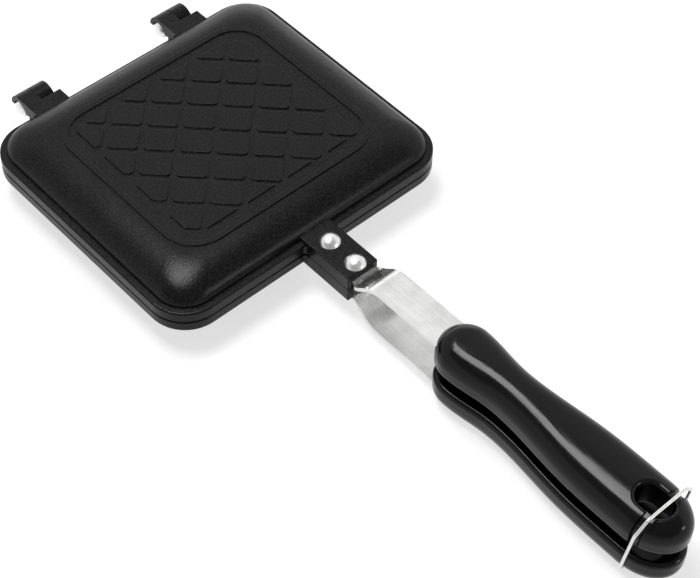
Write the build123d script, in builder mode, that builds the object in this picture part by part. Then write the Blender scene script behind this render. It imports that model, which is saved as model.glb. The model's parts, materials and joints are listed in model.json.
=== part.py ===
from build123d import *
from math import cos, radians, sin, tan
import os

# Double-sided toasting pan: two cast half pans hinged at the back, each with a
# riveted strap and a moulded grip at the front, and a wire bail that locks the grips.
# Frame: the lower pan's rest face is z = 0, its centre is the origin, hinges at +Y.

# Half pan, outside
PAN_WIDTH = 145.0
PAN_LENGTH = 129.0
RIM_CORNER = 17.0
RIM_HEIGHT = 5.1
RIM_EDGE_ROUND = 0.8
LEDGE = 3.0
DOME_RISE = 9.5
DOME_SPREAD = 17.0
DOME_TOP_CORNER = 9.0
DOME_STEPS = 5
PARTING_GAP = 0.4
MATING_EDGE_CHAMFER = 0.4

# Half pan, cavity
LAND = 5.0
CAVITY_FLOOR = 3.4
CAVITY_SPREAD = 12.5
CAVITY_TOP_CORNER = 6.0

# Fillets where the bracket and the hinge plates leave the rim
LUG_ROOT_ROUND = 1.5

# Raised bead and lozenge pads on the flat top of the dome
RELIEF = 0.6
BEAD_WIDTH = 104.4
BEAD_LENGTH = 92.6
BEAD_CORNER = 16.2
BEAD_THICKNESS = 2.4
PAD_FIELD_WIDTH = 87.4
PAD_FIELD_LENGTH = 77.8
PAD_FIELD_CORNER = 2.0
PAD_PITCH_ACROSS = 15.05
PAD_PITCH_ALONG = 13.8
PAD_GROOVE = 2.2
PAD_CORNER = 1.8
PAD_SMALLEST = 6.0
PAD_COLUMNS = 8
PAD_ROWS = 8

# Front bracket, a channel that takes the strap's tongue
BRACKET_WIDTH = 15.6
BRACKET_TOP = 6.8
BRACKET_REACH = 25.5
BRACKET_PLATE = 2.4
BRACKET_WALL = 1.5
BRACKET_ROUND = 0.5
BRACKET_ROOT = 3.2

# Hinges
HINGE_SPACING = 75.2
HINGE_WIDTH = 16.8
HINGE_PIN_OFFSET = 11.8
HINGE_BARREL_RADIUS = 6.1
HINGE_PIN_RADIUS = 2.0
PIN_CLEARANCE = 0.08
EAR_SIDE_GAP = 0.3
EAR_END_GAP = 0.4
EAR_WIDTH = 7.2
EAR_UNDERSIDE_RADIUS = 3.9
PIN_HEAD_RADIUS = 3.7
PIN_HEAD_HEIGHT = 2.2
PIN_HEAD_RECESS = 0.9
PIN_HEAD_PLAY = 0.35
PIN_TAIL_RADIUS = 3.0
PIN_TAIL_HEIGHT = 1.3

# Straps
STRAP_WIDTH = 15.0
STRAP_THICKNESS = 1.7
STRAP_RISE = 7.9
STRAP_BEND_ANGLE = 40.0
STRAP_BEND_INNER = 7.0
STRAP_BEND_OUTER = 13.0
STRAP_BEND_START = 1.0
TONGUE_PLAY = 0.2
TONGUE_SHOULDER = 2.6
TONGUE_END_GAP = 1.0

# Rivets that hold each strap in its bracket
RIVET_PITCH = 15.1
RIVET_FRONT_MARGIN = 4.6
RIVET_RADIUS = 2.0
RIVET_HOLE_PLAY = 0.05
RIVET_HEAD_RADIUS = 4.5
RIVET_HEAD_HEIGHT = 2.7
RIVET_TAIL_RADIUS = 3.2
RIVET_TAIL_HEIGHT = 0.9

# Grips
GRIP_START = 71.2
GRIP_LENGTH = 122.8
GRIP_FLAT = 3.5
GRIP_TOP = 17.8
GRIP_NOSE_HALF = 12.0
GRIP_WAIST_HALF = 9.9
GRIP_BODY_HALF = 12.3
GRIP_END_HALF = 13.6
GRIP_WAIST_AT = 31.0
GRIP_BODY_AT = 66.0
GRIP_END_CAP = 18.8
GRIP_CROWN_RADIUS = 30.0
GRIP_SHOULDER_ROUND = 8.4
GRIP_FLAT_ROUND = 2.2
TANG_DEPTH = 46.0
TANG_PLAY = 0.1

# Hang hole and the groove under the bail's bar, placed from the grip's end
HANG_HOLE_FROM_END = 16.4
HANG_HOLE_WIDTH = 10.4
HANG_HOLE_LENGTH = 15.6
HANG_HOLE_ROUND = 1.6
GROOVE_FROM_END = 13.2
GROOVE_DEPTH = 1.6
GROOVE_WIDTH = 4.6
GROOVE_SHOULDER = 7.5

# Wire bail
BAIL_WIRE_RADIUS = 0.65
BAIL_PIVOT_FROM_END = 14.8
BAIL_BAR_FROM_END = 11.5
BAIL_BAR_ABOVE_GRIP = 1.8
BAIL_SIDE_PLAY = 0.8
BAIL_EAR_DEPTH = 4.0
BAIL_CORNER = 2.4
BAIL_SHOULDER_DROP = 6.0
BAIL_SHOULDER_WIDTH = 5.1
BAIL_PIVOT_PLAY = 0.08

# Grip screws, driven from the flat face through the tang
SCREW_FRONT_AT = 14.0
SCREW_PITCH = 22.0
SCREW_RADIUS = 1.9
SCREW_HEAD_RADIUS = 3.6
SCREW_LENGTH = 11.5
SCREW_PLAY = 0.05
SCREW_SLOT_WIDTH = 1.0
SCREW_SLOT_DEPTH = 0.8

# Levels above the parting plane and places along Y, worked out from the sizes above
DOME_TOP = RIM_HEIGHT + DOME_RISE
PARTING_Z = DOME_TOP + RELIEF
LAND_LIFT = PARTING_GAP / 2
HALF_LENGTH = PAN_LENGTH / 2
RIM_ROOT = LEDGE + BRACKET_ROOT / 2
HINGE_Y = HALF_LENGTH + HINGE_PIN_OFFSET
HINGE_PLATE_END = HINGE_Y - HINGE_BARREL_RADIUS - EAR_END_GAP
BRACKET_END = -(HALF_LENGTH + BRACKET_REACH)
RIVET_FRONT_Y = BRACKET_END + RIVET_FRONT_MARGIN
RIVET_REAR_Y = RIVET_FRONT_Y + RIVET_PITCH
CHANNEL_ROOF = BRACKET_TOP - BRACKET_PLATE
CHANNEL_WIDTH = BRACKET_WIDTH - 2 * BRACKET_WALL
TONGUE_LEVEL = CHANNEL_ROOF - STRAP_THICKNESS / 2
TANG_LEVEL = TONGUE_LEVEL + STRAP_RISE
GRIP_TIP = -(HALF_LENGTH + GRIP_START)
TANG_END = GRIP_TIP - TANG_DEPTH
SCREW_YS = [GRIP_TIP - SCREW_FRONT_AT, GRIP_TIP - SCREW_FRONT_AT - SCREW_PITCH]
GRIP_END = GRIP_TIP - GRIP_LENGTH
END_CAP_Y = GRIP_END + GRIP_END_CAP
GROOVE_FRONT = GRIP_END + GROOVE_FROM_END + GROOVE_WIDTH / 2
BAIL_PIVOT_Y = GRIP_END + BAIL_PIVOT_FROM_END
BAIL_PIVOT_DROP = (GRIP_FLAT + GRIP_TOP) / 2
BAIL_LEG_X = GRIP_END_HALF + BAIL_SIDE_PLAY + BAIL_WIRE_RADIUS
BAIL_BAR_HALF = BAIL_LEG_X - BAIL_SHOULDER_WIDTH

parting = Plane.XY.offset(PARTING_Z)
os.makedirs("parts", exist_ok=True)


def level(height):
    """The plane at this height above the parting plane."""
    return Plane.XY.offset(PARTING_Z + height)


def finish(piece, label):
    """Names a finished piece and writes it."""
    piece.part.label = label
    export_step(piece.part, f"parts/{label}.step")


def pillow(base, rise, spread, half_x, half_y, corner, top_corner):
    """A cushion-like form: rounded rectangles drawn in along a quarter ellipse."""
    with BuildPart() as form:
        for step in range(DOME_STEPS + 1):
            angle = radians(90 * step / DOME_STEPS)
            inset = spread * (1 - cos(angle))
            round_here = corner + (top_corner - corner) * (1 - cos(angle))
            with BuildSketch(level(base + rise * sin(angle))):
                RectangleRounded(2 * (half_x - inset), 2 * (half_y - inset), round_here)
        loft()
    return form.part


def root_web(x, y, side, end):
    """Plan of the fillet in the corner at x, y that opens towards the side and the end."""
    with BuildSketch(level(LAND_LIFT + MATING_EDGE_CHAMFER)) as web:
        with Locations((x, y)):
            Rectangle(2 * LUG_ROOT_ROUND, 2 * LUG_ROOT_ROUND)
        with Locations((x + side * LUG_ROOT_ROUND, y + end * LUG_ROOT_ROUND)):
            Circle(LUG_ROOT_ROUND, mode=Mode.SUBTRACT)
    return web.sketch


def domed_pin(seat, shank_radius, shank_length, head_radius, head_height, tail_radius, tail_height):
    """A rivet or hinge pin whose head sits on the seat plane, with its closed tail."""
    with BuildPart() as pin:
        with BuildSketch(Plane(origin=seat.origin, x_dir=seat.x_dir, z_dir=-seat.y_dir)):
            with BuildLine():
                TangentArc((0, head_height), (head_radius, 0), tangent=(1, 0))
                TangentArc((0, -shank_length - tail_height), (tail_radius, -shank_length),
                           tangent=(1, 0))
                Line((head_radius, 0), (shank_radius, 0))
                Line((shank_radius, 0), (shank_radius, -shank_length))
                Line((shank_radius, -shank_length), (tail_radius, -shank_length))
                Line((0, -shank_length - tail_height), (0, head_height))
            make_face()
        revolve(axis=Axis(seat.origin, seat.z_dir))
    return pin


# Form that both half pans share, drawn for the upper one
dome = pillow(RIM_HEIGHT, DOME_RISE, DOME_SPREAD, PAN_WIDTH / 2 - LEDGE, HALF_LENGTH - LEDGE,
              RIM_CORNER - LEDGE, DOME_TOP_CORNER)
cavity = pillow(0, DOME_TOP - CAVITY_FLOOR, CAVITY_SPREAD, PAN_WIDTH / 2 - LAND,
                HALF_LENGTH - LAND, RIM_CORNER - LAND, CAVITY_TOP_CORNER)

with BuildPart() as bracket:
    with BuildSketch(level(LAND_LIFT)):
        with Locations((0, -HALF_LENGTH + RIM_ROOT)):
            Rectangle(BRACKET_WIDTH, BRACKET_REACH + RIM_ROOT, align=(Align.CENTER, Align.MAX))
    extrude(amount=BRACKET_TOP - LAND_LIFT)
    fillet(bracket.edges().filter_by(Axis.Z).group_by(Axis.Y)[0], BRACKET_ROUND)
    fillet(bracket.faces().sort_by(Axis.Z)[-1].edges(), BRACKET_ROUND)
    with BuildSketch(level(LAND_LIFT)):
        with Locations((0, BRACKET_END)):
            Rectangle(CHANNEL_WIDTH, BRACKET_REACH, align=(Align.CENTER, Align.MIN))
    extrude(amount=CHANNEL_ROOF - LAND_LIFT, mode=Mode.SUBTRACT)
    with Locations((0, RIVET_FRONT_Y, PARTING_Z + BRACKET_TOP),
                   (0, RIVET_REAR_Y, PARTING_Z + BRACKET_TOP)):
        Hole(RIVET_RADIUS + RIVET_HOLE_PLAY)

with BuildPart() as shell:
    with BuildSketch(level(LAND_LIFT)):
        RectangleRounded(PAN_WIDTH, PAN_LENGTH, RIM_CORNER)
    extrude(amount=RIM_HEIGHT - LAND_LIFT)
    fillet(shell.edges().group_by(Axis.Z)[-1], RIM_EDGE_ROUND)
    chamfer(shell.edges().group_by(Axis.Z)[0], MATING_EDGE_CHAMFER)
    add(dome)
    add(bracket.part)
    with BuildSketch(level(LAND_LIFT)):
        with Locations((-HINGE_SPACING / 2, HINGE_PLATE_END), (HINGE_SPACING / 2, HINGE_PLATE_END)):
            Rectangle(HINGE_WIDTH, HINGE_PLATE_END - HALF_LENGTH + RIM_ROOT,
                      align=(Align.CENTER, Align.MAX))
    extrude(amount=HINGE_BARREL_RADIUS - LAND_LIFT)
    web_height = RIM_HEIGHT - RIM_EDGE_ROUND - LAND_LIFT - MATING_EDGE_CHAMFER
    for side in (-1, 1):
        extrude(root_web(side * BRACKET_WIDTH / 2, -HALF_LENGTH, side, -1), amount=web_height)
        for hinge_x in (-HINGE_SPACING / 2, HINGE_SPACING / 2):
            extrude(root_web(hinge_x + side * HINGE_WIDTH / 2, HALF_LENGTH, side, 1),
                    amount=web_height)
    add(cavity, mode=Mode.SUBTRACT)
    with BuildSketch(level(DOME_TOP)):
        RectangleRounded(BEAD_WIDTH, BEAD_LENGTH, BEAD_CORNER)
        RectangleRounded(BEAD_WIDTH - 2 * BEAD_THICKNESS, BEAD_LENGTH - 2 * BEAD_THICKNESS,
                         BEAD_CORNER - BEAD_THICKNESS, mode=Mode.SUBTRACT)
    extrude(amount=RELIEF)
    with BuildSketch(level(DOME_TOP)) as pads:
        with Locations(Location((0, 0), -45)):
            with GridLocations(PAD_PITCH_ACROSS, PAD_PITCH_ALONG, PAD_COLUMNS, PAD_ROWS):
                RectangleRounded(PAD_PITCH_ACROSS - PAD_GROOVE, PAD_PITCH_ALONG - PAD_GROOVE,
                                 PAD_CORNER)
        RectangleRounded(PAD_FIELD_WIDTH, PAD_FIELD_LENGTH, PAD_FIELD_CORNER,
                         mode=Mode.INTERSECT)
        for sliver in pads.sketch_local.faces().filter_by(lambda pad: pad.area < PAD_SMALLEST):
            add(sliver, mode=Mode.SUBTRACT)
    extrude(amount=RELIEF)


def ear_profile(side, far_radius):
    """Side view of a hinge ear: an arm and half a barrel on its own side of the parting plane."""
    far = Align.MAX if side > 0 else Align.MIN
    with BuildSketch(Plane.YZ) as profile:
        with Locations((HINGE_Y, PARTING_Z)):
            Circle(HINGE_BARREL_RADIUS)
            Rectangle(2 * HINGE_BARREL_RADIUS, HINGE_BARREL_RADIUS, align=(Align.CENTER, far),
                      mode=Mode.SUBTRACT)
            Circle(far_radius)
        with Locations((HINGE_PLATE_END - EAR_END_GAP, PARTING_Z + side * LAND_LIFT)):
            Rectangle(HINGE_Y - HINGE_PLATE_END + EAR_END_GAP, HINGE_BARREL_RADIUS - LAND_LIFT,
                      align=(Align.MIN, Align.MIN if side > 0 else Align.MAX))
        with Locations((HINGE_Y, PARTING_Z)):
            Circle(HINGE_PIN_RADIUS + PIN_CLEARANCE, mode=Mode.SUBTRACT)
    return profile.sketch


hinge_lefts = [centre - HINGE_WIDTH / 2 for centre in (-HINGE_SPACING / 2, HINGE_SPACING / 2)]

with BuildPart() as upper_pan:
    add(shell.part)
    for left in hinge_lefts:
        hooded_ear = ear_profile(1, EAR_UNDERSIDE_RADIUS).moved(Location((left, 0, 0)))
        extrude(hooded_ear, amount=EAR_WIDTH)
        with BuildSketch(Plane.YZ.offset(left)):
            with Locations((HINGE_Y, PARTING_Z)):
                Circle(PIN_HEAD_RADIUS + PIN_HEAD_PLAY)
        extrude(amount=PIN_HEAD_RECESS, mode=Mode.SUBTRACT)
finish(upper_pan, "upper_pan")

with BuildPart() as lower_pan:
    mirror(shell.part, about=parting)
    for left in hinge_lefts:
        full_ear = ear_profile(-1, HINGE_BARREL_RADIUS)
        extrude(full_ear.moved(Location((left + EAR_WIDTH + EAR_SIDE_GAP, 0, 0))), amount=EAR_WIDTH)
finish(lower_pan, "lower_pan")

PIN_SHANK = 2 * EAR_WIDTH + EAR_SIDE_GAP - PIN_HEAD_RECESS
for name, left in zip(("hinge_pin_left", "hinge_pin_right"), hinge_lefts):
    seat = Plane(origin=(left + PIN_HEAD_RECESS, HINGE_Y, PARTING_Z), x_dir=(0, 1, 0), z_dir=(-1, 0, 0))
    hinge_pin = domed_pin(seat, HINGE_PIN_RADIUS, PIN_SHANK, PIN_HEAD_RADIUS, PIN_HEAD_HEIGHT,
                          PIN_TAIL_RADIUS, PIN_TAIL_HEIGHT)
    finish(hinge_pin, name)

# Strap: flat tongue in the bracket, two bends, flat tang in the grip
bend_start = BRACKET_END - STRAP_BEND_START
bend_one = bend_start - STRAP_BEND_INNER * tan(radians(STRAP_BEND_ANGLE / 2))
bend_two = bend_one - STRAP_RISE / tan(radians(STRAP_BEND_ANGLE))
tongue_end = -HALF_LENGTH - TONGUE_END_GAP

with BuildPart() as upper_strap:
    with BuildLine():
        FilletPolyline((0, tongue_end, PARTING_Z + TONGUE_LEVEL),
                       (0, bend_one, PARTING_Z + TONGUE_LEVEL),
                       (0, bend_two, PARTING_Z + TANG_LEVEL),
                       (0, TANG_END, PARTING_Z + TANG_LEVEL),
                       radius=[STRAP_BEND_INNER, STRAP_BEND_OUTER])
    with BuildSketch(Plane(origin=(0, tongue_end, PARTING_Z + TONGUE_LEVEL), x_dir=(1, 0, 0),
                           z_dir=(0, -1, 0))):
        Rectangle(STRAP_WIDTH, STRAP_THICKNESS)
    sweep()
    with BuildSketch(Plane.XY):
        tongue_half = CHANNEL_WIDTH / 2 - TONGUE_PLAY
        shoulder = bend_start + STRAP_BEND_START / 2
        with BuildLine():
            outline = Polyline((0, tongue_end), (tongue_half, tongue_end), (tongue_half, shoulder),
                               (STRAP_WIDTH / 2, shoulder - TONGUE_SHOULDER),
                               (STRAP_WIDTH / 2, TANG_END), (0, TANG_END))
            mirror(outline, about=Plane.YZ)
        make_face()
    extrude(amount=2 * (PARTING_Z + TANG_LEVEL), mode=Mode.INTERSECT)
    with Locations(*[(0, y, PARTING_Z + TANG_LEVEL + STRAP_THICKNESS)
                     for y in (RIVET_FRONT_Y, RIVET_REAR_Y)]):
        Hole(RIVET_RADIUS + RIVET_HOLE_PLAY)
    with Locations(*[(0, y, PARTING_Z + TANG_LEVEL + STRAP_THICKNESS) for y in SCREW_YS]):
        Hole(SCREW_RADIUS + SCREW_PLAY)
finish(upper_strap, "upper_strap")

with BuildPart() as lower_strap:
    mirror(upper_strap.part, about=parting)
finish(lower_strap, "lower_strap")

for place, rivet_y in (("front", RIVET_FRONT_Y), ("rear", RIVET_REAR_Y)):
    seat = Plane(origin=(0, rivet_y, PARTING_Z + BRACKET_TOP), x_dir=(1, 0, 0), z_dir=(0, 0, 1))
    upper_rivet = domed_pin(seat, RIVET_RADIUS, BRACKET_PLATE + STRAP_THICKNESS, RIVET_HEAD_RADIUS,
                            RIVET_HEAD_HEIGHT, RIVET_TAIL_RADIUS, RIVET_TAIL_HEIGHT)
    finish(upper_rivet, f"upper_rivet_{place}")
    with BuildPart() as lower_rivet:
        mirror(upper_rivet.part, about=parting)
    finish(lower_rivet, f"lower_rivet_{place}")

# Grip: a waisted outline, crowned on top, well rounded at the shoulders, flat inside
with BuildPart() as grip:
    with BuildSketch(level(GRIP_FLAT)):
        with BuildLine():
            CenterArc((0, GRIP_TIP - GRIP_NOSE_HALF), GRIP_NOSE_HALF, 0, 180)
            flank = Spline((-GRIP_NOSE_HALF, GRIP_TIP - GRIP_NOSE_HALF),
                           (-GRIP_WAIST_HALF, GRIP_TIP - GRIP_WAIST_AT),
                           (-GRIP_BODY_HALF, GRIP_TIP - GRIP_BODY_AT),
                           (-GRIP_END_HALF, END_CAP_Y),
                           tangents=((0, -1), (0, -1)))
            mirror(flank, about=Plane.YZ)
            EllipticalCenterArc((0, END_CAP_Y), GRIP_END_HALF, GRIP_END_CAP,
                                start_angle=180, arc_size=180)
        make_face()
    extrude(amount=GRIP_TOP - GRIP_FLAT)
    with BuildSketch(Plane.XZ.offset(-GRIP_TIP)):
        with Locations((0, PARTING_Z + GRIP_TOP - GRIP_CROWN_RADIUS)):
            Circle(GRIP_CROWN_RADIUS)
    extrude(amount=GRIP_LENGTH, mode=Mode.INTERSECT)
    fillet(grip.faces().sort_by(Axis.Z)[-1].edges(), GRIP_SHOULDER_ROUND)
    fillet(grip.faces().sort_by(Axis.Z)[0].edges(), GRIP_FLAT_ROUND)
    with BuildSketch(Plane.XZ.offset(-GRIP_TIP)):
        with Locations((0, PARTING_Z + TANG_LEVEL)):
            Rectangle(STRAP_WIDTH + 2 * TANG_PLAY, STRAP_THICKNESS + 2 * TANG_PLAY)
    extrude(amount=TANG_DEPTH + TANG_PLAY, mode=Mode.SUBTRACT)
    with BuildSketch(level(GRIP_FLAT)):
        with Locations((0, GRIP_END + HANG_HOLE_FROM_END)):
            SlotOverall(HANG_HOLE_LENGTH, HANG_HOLE_WIDTH, rotation=90)
    extrude(amount=GRIP_TOP - GRIP_FLAT, mode=Mode.SUBTRACT)
    fillet(grip.edges(Select.LAST).filter_by(Axis.Z, reverse=True), HANG_HOLE_ROUND)
    for y in SCREW_YS:
        with Locations(Location((0, y, PARTING_Z + GRIP_FLAT), (180, 0, 0))):
            CounterSinkHole(SCREW_RADIUS + SCREW_PLAY, SCREW_HEAD_RADIUS + SCREW_PLAY,
                            depth=SCREW_LENGTH + SCREW_PLAY, counter_sink_angle=90)

with BuildPart() as groove:
    with BuildSketch(Plane.XZ.offset(-GROOVE_FRONT)):
        with Locations((0, PARTING_Z + GRIP_FLAT)):
            Rectangle(4 * GRIP_END_HALF, 4 * GRIP_TOP, align=(Align.CENTER, Align.MIN))
        with Locations((0, PARTING_Z)):
            RectangleRounded(2 * (GRIP_END_HALF - GROOVE_DEPTH), 2 * (GRIP_TOP - GROOVE_DEPTH),
                             GROOVE_SHOULDER, mode=Mode.SUBTRACT)
    extrude(amount=GROOVE_WIDTH)

with BuildPart() as upper_grip:
    add(grip.part)
    add(groove.part, mode=Mode.SUBTRACT)
finish(upper_grip, "upper_grip")

with BuildPart() as lower_grip:
    mirror(grip.part, about=parting)
    for side in (-1, 1):
        with BuildSketch(Plane.YZ.offset(side * (GRIP_END_HALF - BAIL_EAR_DEPTH))):
            with Locations((BAIL_PIVOT_Y, PARTING_Z - BAIL_PIVOT_DROP)):
                Circle(BAIL_WIRE_RADIUS + BAIL_PIVOT_PLAY)
        extrude(amount=side * 2 * BAIL_EAR_DEPTH, mode=Mode.SUBTRACT)
finish(lower_grip, "lower_grip")

SCREW_CONE = SCREW_HEAD_RADIUS - SCREW_RADIUS
for place, screw_y in zip(("front", "rear"), SCREW_YS):
    with BuildPart() as upper_screw:
        with BuildSketch(Plane(origin=(0, screw_y, PARTING_Z + GRIP_FLAT), x_dir=(1, 0, 0),
                               z_dir=(0, -1, 0))):
            with BuildLine():
                Polyline((0, 0), (SCREW_HEAD_RADIUS, 0), (SCREW_RADIUS, SCREW_CONE),
                         (SCREW_RADIUS, SCREW_LENGTH), (0, SCREW_LENGTH), close=True)
            make_face()
        revolve(axis=Axis((0, screw_y, 0), (0, 0, 1)))
        with BuildSketch(level(GRIP_FLAT)):
            with Locations((0, screw_y)):
                Rectangle(2 * SCREW_HEAD_RADIUS, SCREW_SLOT_WIDTH)
        extrude(amount=SCREW_SLOT_DEPTH, mode=Mode.SUBTRACT)
    finish(upper_screw, f"upper_grip_screw_{place}")
    with BuildPart() as lower_screw:
        mirror(upper_screw.part, about=parting)
    finish(lower_screw, f"lower_grip_screw_{place}")

# Wire bail: ears in the lower grip, legs up both sides, a bar over the upper grip
bail_reach = Vector(0, BAIL_BAR_FROM_END - BAIL_PIVOT_FROM_END,
                    GRIP_TOP + BAIL_BAR_ABOVE_GRIP + BAIL_PIVOT_DROP)
bail_plane = Plane(origin=(0, BAIL_PIVOT_Y, PARTING_Z - BAIL_PIVOT_DROP), x_dir=(1, 0, 0),
                   z_dir=Vector(1, 0, 0).cross(bail_reach))
ear_x = GRIP_END_HALF - BAIL_EAR_DEPTH + BAIL_PIVOT_PLAY
bar_up = bail_reach.length
with BuildPart() as locking_bail:
    with BuildLine(bail_plane):
        FilletPolyline((-ear_x, 0), (-BAIL_LEG_X, 0), (-BAIL_LEG_X, bar_up - BAIL_SHOULDER_DROP),
                       (-BAIL_BAR_HALF, bar_up), (BAIL_BAR_HALF, bar_up),
                       (BAIL_LEG_X, bar_up - BAIL_SHOULDER_DROP), (BAIL_LEG_X, 0), (ear_x, 0),
                       radius=[2 * BAIL_WIRE_RADIUS] + 4 * [BAIL_CORNER] + [2 * BAIL_WIRE_RADIUS])
    with BuildSketch(Plane(origin=bail_plane.from_local_coords((-ear_x, 0)), z_dir=(-1, 0, 0))):
        Circle(BAIL_WIRE_RADIUS)
    sweep()
finish(locking_bail, "locking_bail")

print("parting plane above the rest face:", PARTING_Z)
print("hinge pin at y:", HINGE_Y, "bail pivot at y, z:", BAIL_PIVOT_Y, PARTING_Z - BAIL_PIVOT_DROP)
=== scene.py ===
"""Looks of a double-sided toasting pan on a white studio floor, in metres, in the frame of the solids."""

import json
from math import cos, pi, radians, sin

import bpy
from mathutils import Matrix, Vector


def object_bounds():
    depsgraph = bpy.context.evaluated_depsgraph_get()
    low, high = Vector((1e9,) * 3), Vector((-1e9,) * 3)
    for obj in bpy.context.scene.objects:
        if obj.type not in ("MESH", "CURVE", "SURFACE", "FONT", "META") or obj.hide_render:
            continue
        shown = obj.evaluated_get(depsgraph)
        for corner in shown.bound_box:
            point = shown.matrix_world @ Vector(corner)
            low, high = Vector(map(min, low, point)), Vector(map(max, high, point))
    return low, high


MM = 0.001

# Camera: it looks at a point between the pan and the grips, at the parting plane's height
VIEW_TARGET = Vector((-6.8, -89.95, 15.2)) * MM
VIEW_DISTANCE = 738.8 * MM
VIEW_AZIMUTH = radians(-43.63)
VIEW_ELEVATION = radians(50.53)
VIEW_ROLL = radians(1.91)
LENS_MM = 96.27
SENSOR_MM = 36.0
NEAR_CLIP = 10 * MM

# Cast edges are shaded as if rounded this much, because the coating runs over them
EDGE_ROUND = 0.2 * MM
EDGE_SAMPLES = 16

# The floor is a grey sheet that glows only where it is seen or mirrored, so it looks white there
# and sends no extra light to the pan. The room's light is what falls on things from all around.
FLOOR_HALF = 4.0
FLOOR_GREY = 0.45
FLOOR_GLOW = 0.68
ROOM_LIGHT = 0.20

# Where it is seen or mirrored, the room is white but for a grey patch above the front. The patch is
# given by the direction of its centre and by the cosines of the angles off that direction at which
# it ends and is full.
PATCH_DIRECTION = (-0.32, -0.38, 0.87)
PATCH_GREY = 0.4
PATCH_EDGE = 0.45
PATCH_CORE = 0.62


def tree_of(owner):
    """The emptied node tree of a material or world."""
    owner.use_nodes = True
    owner.node_tree.nodes.clear()
    return owner.node_tree


def add_node(tree, kind, **values):
    """A new node, with its properties and input sockets set by name."""
    node = tree.nodes.new(kind)
    for name, value in values.items():
        if hasattr(node, name):
            setattr(node, name, value)
        else:
            node.inputs[name.replace("_", " ")].default_value = value
    return node


def grey(level):
    """The colour with this value in each channel."""
    return (level, level, level, 1)


class Finish:
    """A surface whose shader takes its colour, roughness and bump from noise in the object's own space."""

    def __init__(self, name, **shader_values):
        self.material = bpy.data.materials.new(name)
        self.tree = tree_of(self.material)
        output = add_node(self.tree, "ShaderNodeOutputMaterial")
        self.shader = add_node(self.tree, "ShaderNodeBsdfPrincipled", **shader_values)
        self.link(self.shader.outputs["BSDF"], output.inputs["Surface"])
        self.place = add_node(self.tree, "ShaderNodeTexCoord").outputs["Object"]
        self.normal = None

    def link(self, out, into):
        self.tree.links.new(out, into)

    def noise(self, size, detail, stretch=(1, 1, 1)):
        """Noise with blobs of this size in metres, drawn out by the stretch along each axis."""
        scale = [1 / (size * along) for along in stretch]
        mapping = add_node(self.tree, "ShaderNodeMapping", Scale=scale)
        self.link(self.place, mapping.inputs["Vector"])
        noise = add_node(self.tree, "ShaderNodeTexNoise", Scale=1.0, Detail=detail)
        self.link(mapping.outputs["Vector"], noise.inputs["Vector"])
        return noise.outputs["Fac"]

    def spread(self, fac, low, high, start=0.3, end=0.7):
        """Runs from low to high while the factor goes from start to end."""
        remap = add_node(self.tree, "ShaderNodeMapRange",
                         From_Min=start, From_Max=end, To_Min=low, To_Max=high)
        self.link(fac, remap.inputs["Value"])
        return remap.outputs["Result"]

    def mix(self, fac, dark, light):
        """A colour between two, by the factor."""
        mix = add_node(self.tree, "ShaderNodeMix", data_type="RGBA", A=(*dark, 1), B=(*light, 1))
        self.link(fac, mix.inputs["Factor"])
        return mix.outputs["Result"]

    def colour(self, out):
        self.link(out, self.shader.inputs["Base Color"])

    def roughness(self, out):
        self.link(out, self.shader.inputs["Roughness"])

    def bump(self, height, distance, strength):
        """Adds relief of this depth in metres over any bump made before."""
        bump = add_node(self.tree, "ShaderNodeBump", Strength=strength, Distance=distance)
        self.link(height, bump.inputs["Height"])
        self.shade_by(bump)

    def soften(self, radius):
        """Shades sharp edges as if they were rounded to this radius in metres."""
        self.shade_by(add_node(self.tree, "ShaderNodeBevel", Radius=radius, samples=EDGE_SAMPLES))

    def shade_by(self, node):
        """Puts a node that bends the normal after those made before."""
        if self.normal:
            self.link(self.normal, node.inputs["Normal"])
        self.normal = node.outputs["Normal"]
        self.link(self.normal, self.shader.inputs["Normal"])


def pan_coating():
    """Black non-stick coating: fine grain, satin, with faint cloudiness."""
    coat = Finish("pan_coating", Specular_IOR_Level=0.16)
    coat.soften(EDGE_ROUND)
    grain = coat.noise(0.8 * MM, detail=2.0)
    clouds = coat.noise(14 * MM, detail=5.0)
    specks = coat.spread(grain, 0, 1, start=0.4, end=0.6)
    coat.colour(coat.mix(specks, dark=(0.0005, 0.0005, 0.0005), light=(0.010, 0.010, 0.0107)))
    coat.roughness(coat.spread(clouds, 0.26, 0.32))
    coat.bump(grain, 0.08 * MM, strength=1.0)
    return coat.material


def grip_resin():
    """Glossy black moulded resin with a slight orange peel and fine handling marks."""
    resin = Finish("grip_resin", Specular_IOR_Level=0.20)
    peel = resin.noise(5 * MM, detail=2.0)
    marks = resin.noise(1.2 * MM, detail=6.0, stretch=(1, 9, 1))
    shade = resin.spread(marks, 0, 1)
    resin.colour(resin.mix(shade, dark=(0.0015, 0.0015, 0.0017), light=(0.003, 0.003, 0.0033)))
    resin.roughness(resin.spread(marks, 0.13, 0.22))
    resin.bump(peel, 0.05 * MM, strength=0.7)
    resin.bump(marks, 0.02 * MM, strength=0.5)
    return resin.material


def strap_steel():
    """Polished stainless strip, finely drawn along its length."""
    steel = Finish("strap_steel", Metallic=1.0)
    drawn = steel.noise(0.5 * MM, detail=3.0, stretch=(1, 60, 4))
    clouds = steel.noise(9 * MM, detail=4.0)
    shade = steel.spread(clouds, 0, 1)
    steel.colour(steel.mix(shade, dark=(0.60, 0.60, 0.59), light=(0.73, 0.73, 0.72)))
    steel.roughness(steel.spread(drawn, 0.22, 0.30))
    steel.bump(drawn, 0.003 * MM, strength=0.35)
    return steel.material


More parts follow.
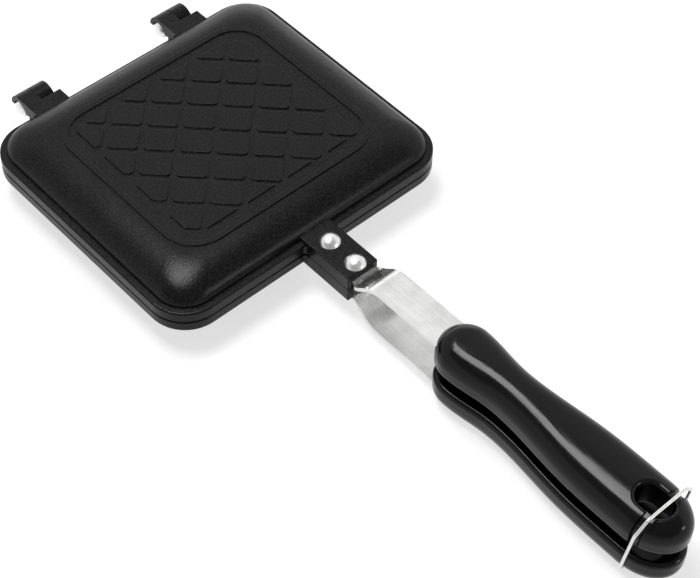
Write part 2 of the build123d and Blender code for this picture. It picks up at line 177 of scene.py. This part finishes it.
def rivet_metal():
    """Polished rivet and pin heads with small dents from setting."""
    metal = Finish("rivet_metal", Metallic=1.0)
    dents = metal.noise(1.6 * MM, detail=3.0)
    shade = metal.spread(dents, 0, 1)
    metal.colour(metal.mix(shade, dark=(0.74, 0.74, 0.74), light=(0.84, 0.84, 0.83)))
    metal.roughness(metal.spread(dents, 0.26, 0.36))
    metal.bump(dents, 0.05 * MM, strength=0.35)
    return metal.material


def screw_steel():
    """Zinc-plated screws, a little dull."""
    zinc = Finish("screw_steel", Metallic=1.0)
    bloom = zinc.noise(0.9 * MM, detail=4.0)
    shade = zinc.spread(bloom, 0, 1)
    zinc.colour(zinc.mix(shade, dark=(0.42, 0.42, 0.43), light=(0.60, 0.60, 0.61)))
    zinc.roughness(zinc.spread(bloom, 0.28, 0.42))
    zinc.bump(bloom, 0.02 * MM, strength=0.4)
    return zinc.material


def wire_steel():
    """Bright drawn wire."""
    wire = Finish("wire_steel", Metallic=1.0)
    drawn = wire.noise(0.25 * MM, detail=3.0, stretch=(1, 8, 8))
    shade = wire.spread(drawn, 0, 1)
    wire.colour(wire.mix(shade, dark=(0.68, 0.67, 0.65), light=(0.80, 0.79, 0.77)))
    wire.roughness(wire.spread(drawn, 0.26, 0.38))
    wire.bump(drawn, 0.01 * MM, strength=0.4)
    return wire.material


def seen_rays(tree):
    """1 for rays from the camera, a mirror or clear glass, and 0 for the light that falls on things."""
    path = add_node(tree, "ShaderNodeLightPath")
    total = path.outputs["Is Camera Ray"]
    for name in ("Is Glossy Ray", "Is Transmission Ray"):
        either = add_node(tree, "ShaderNodeMath", operation="MAXIMUM")
        tree.links.new(total, either.inputs[0])
        tree.links.new(path.outputs[name], either.inputs[1])
        total = either.outputs[0]
    return total


def make_world():
    """A room that looks white but for its grey patch and lights the object at a plain level."""
    world = bpy.data.worlds.new("room")
    bpy.context.scene.world = world
    tree = tree_of(world)
    lit = add_node(tree, "ShaderNodeBackground", Strength=ROOM_LIGHT, Color=grey(1))
    direction = add_node(tree, "ShaderNodeTexCoord").outputs["Generated"]
    nearness = add_node(tree, "ShaderNodeVectorMath", operation="DOT_PRODUCT")
    nearness.inputs[1].default_value = PATCH_DIRECTION
    tree.links.new(direction, nearness.inputs[0])
    shade = add_node(tree, "ShaderNodeMapRange", interpolation_type="SMOOTHSTEP",
                     From_Min=PATCH_EDGE, From_Max=PATCH_CORE, To_Min=1.0, To_Max=PATCH_GREY)
    tree.links.new(nearness.outputs["Value"], shade.inputs["Value"])
    seen = add_node(tree, "ShaderNodeBackground", Strength=1.0)
    tree.links.new(shade.outputs["Result"], seen.inputs["Color"])
    mix = add_node(tree, "ShaderNodeMixShader")
    output = add_node(tree, "ShaderNodeOutputWorld")
    tree.links.new(seen_rays(tree), mix.inputs[0])
    tree.links.new(lit.outputs[0], mix.inputs[1])
    tree.links.new(seen.outputs[0], mix.inputs[2])
    tree.links.new(mix.outputs[0], output.inputs["Surface"])


def floor_paper():
    """Grey paper with a glow that only the camera, mirrors and clear glass see."""
    material = bpy.data.materials.new("floor_paper")
    tree = tree_of(material)
    paper = add_node(tree, "ShaderNodeBsdfDiffuse", Color=grey(FLOOR_GREY))
    glow = add_node(tree, "ShaderNodeEmission")
    level = add_node(tree, "ShaderNodeMath", operation="MULTIPLY")
    level.inputs[1].default_value = FLOOR_GLOW
    tree.links.new(seen_rays(tree), level.inputs[0])
    tree.links.new(level.outputs[0], glow.inputs["Strength"])
    both = add_node(tree, "ShaderNodeAddShader")
    output = add_node(tree, "ShaderNodeOutputMaterial")
    tree.links.new(paper.outputs[0], both.inputs[0])
    tree.links.new(glow.outputs[0], both.inputs[1])
    tree.links.new(both.outputs[0], output.inputs["Surface"])
    return material


def make_floor(height):
    """A pale floor that keeps the shadow and reads as white where it is fully lit."""
    signs = ((-1, -1), (1, -1), (1, 1), (-1, 1))
    corners = [(x * FLOOR_HALF, y * FLOOR_HALF, height) for x, y in signs]
    mesh = bpy.data.meshes.new("floor")
    mesh.from_pydata(corners, [], [(0, 1, 2, 3)])
    mesh.materials.append(floor_paper())
    floor = bpy.data.objects.new("floor", mesh)
    bpy.context.scene.collection.objects.link(floor)


def direction_at(azimuth, elevation):
    """The unit vector at these degrees. Azimuth 0 is +Y and 90 is +X."""
    level = cos(radians(elevation))
    return Vector((sin(radians(azimuth)) * level, cos(radians(azimuth)) * level, sin(radians(elevation))))


def add_softbox(name, towards, distance, size, brightness):
    """A soft rectangular lamp facing the object. A brightness of 1 is that of white paper."""
    width, height = size
    lamp = bpy.data.lights.new(name, "AREA")
    lamp.shape = "RECTANGLE"
    lamp.size = width
    lamp.size_y = height
    lamp.energy = brightness * pi * width * height
    holder = bpy.data.objects.new(name, lamp)
    holder.location = VIEW_TARGET + towards * distance
    holder.rotation_euler = towards.to_track_quat("Z", "Y").to_euler()
    bpy.context.scene.collection.objects.link(holder)


def make_camera():
    """The photograph's viewpoint, rolled a little about the line of sight."""
    back = Vector((sin(VIEW_AZIMUTH) * cos(VIEW_ELEVATION),
                   -cos(VIEW_AZIMUTH) * cos(VIEW_ELEVATION),
                   sin(VIEW_ELEVATION)))
    level = Vector((cos(VIEW_AZIMUTH), sin(VIEW_AZIMUTH), 0))
    upright = back.cross(level)
    right = level * cos(VIEW_ROLL) + upright * sin(VIEW_ROLL)
    up = upright * cos(VIEW_ROLL) - level * sin(VIEW_ROLL)
    camera = bpy.data.objects.new("camera", bpy.data.cameras.new("camera"))
    camera.data.lens = LENS_MM
    camera.data.sensor_width = SENSOR_MM
    camera.data.clip_start = NEAR_CLIP
    turn = Matrix((right, up, back)).transposed().to_4x4()
    camera.matrix_world = Matrix.Translation(VIEW_TARGET + back * VIEW_DISTANCE) @ turn
    bpy.context.scene.collection.objects.link(camera)
    bpy.context.scene.camera = camera


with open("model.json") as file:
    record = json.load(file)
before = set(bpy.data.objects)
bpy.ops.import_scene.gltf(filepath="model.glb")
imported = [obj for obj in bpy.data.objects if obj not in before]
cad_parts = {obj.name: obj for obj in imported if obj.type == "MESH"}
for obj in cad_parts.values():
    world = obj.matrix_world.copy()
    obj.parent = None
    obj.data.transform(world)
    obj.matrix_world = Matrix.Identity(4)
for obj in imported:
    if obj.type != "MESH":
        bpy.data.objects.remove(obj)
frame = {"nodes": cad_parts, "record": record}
solid_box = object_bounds()

finishes = {
    "pan_coating": pan_coating(),
    "grip_resin": grip_resin(),
    "strap_steel": strap_steel(),
    "rivet_metal": rivet_metal(),
    "screw_steel": screw_steel(),
    "wire_steel": wire_steel(),
}
slot_of = {part["node"]: part["material_slot"] for part in frame["record"]["subparts"]}
for name, node in frame["nodes"].items():
    for slot in node.material_slots:
        slot.material = finishes[slot_of[name]]

make_camera()
make_world()
make_floor(solid_box[0][2])
add_softbox("overhead", direction_at(-13, 75), distance=0.98, size=(0.48, 0.36), brightness=15)
add_softbox("back_strip", direction_at(35, 9), distance=1.2, size=(1.2, 0.3), brightness=1.0)
add_softbox("front_lamp", direction_at(157, 18), distance=1.2, size=(0.2, 0.14), brightness=14)
bpy.context.scene.view_settings.view_transform = "Standard"
